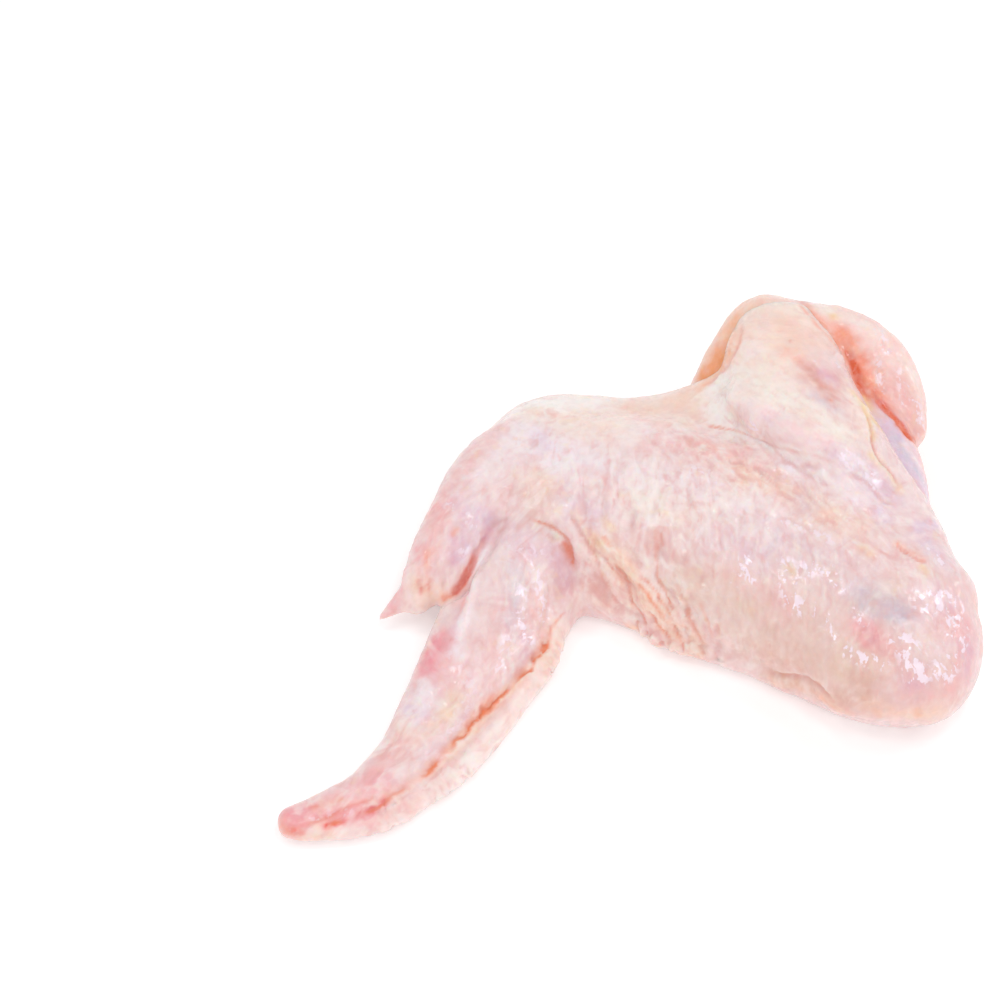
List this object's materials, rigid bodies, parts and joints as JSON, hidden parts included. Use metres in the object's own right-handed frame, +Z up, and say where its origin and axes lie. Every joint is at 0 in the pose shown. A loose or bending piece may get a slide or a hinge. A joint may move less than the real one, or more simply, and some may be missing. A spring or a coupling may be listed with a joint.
{
  "type": "raw turkey wing",
  "caption": "Raw whole turkey wing lying flat: plump upper arm with bare muscle at the cut shoulder, folded forearm, small clawed thumb and a tapering tip with a slit rear edge.",
  "frame": {"origin": "centre of the footprint, on the surface that the wing lies on", "axes": "+X towards the elbow's side, +Y towards the cut shoulder, +Z up, away from the side that the wing lies on"},
  "size_m": [0.1921, 0.1701, 0.0435],
  "materials": {
    "raw_skin": "moist pale pink poultry skin with cream fat and lilac shadows under it",
    "raw_muscle": "moist bare pink muscle with a thin clear membrane"
  },
  "bodies": {
    "root": {"wing": "raw_skin", "shoulder_meat": "raw_muscle"}
  },
  "joints": []
}
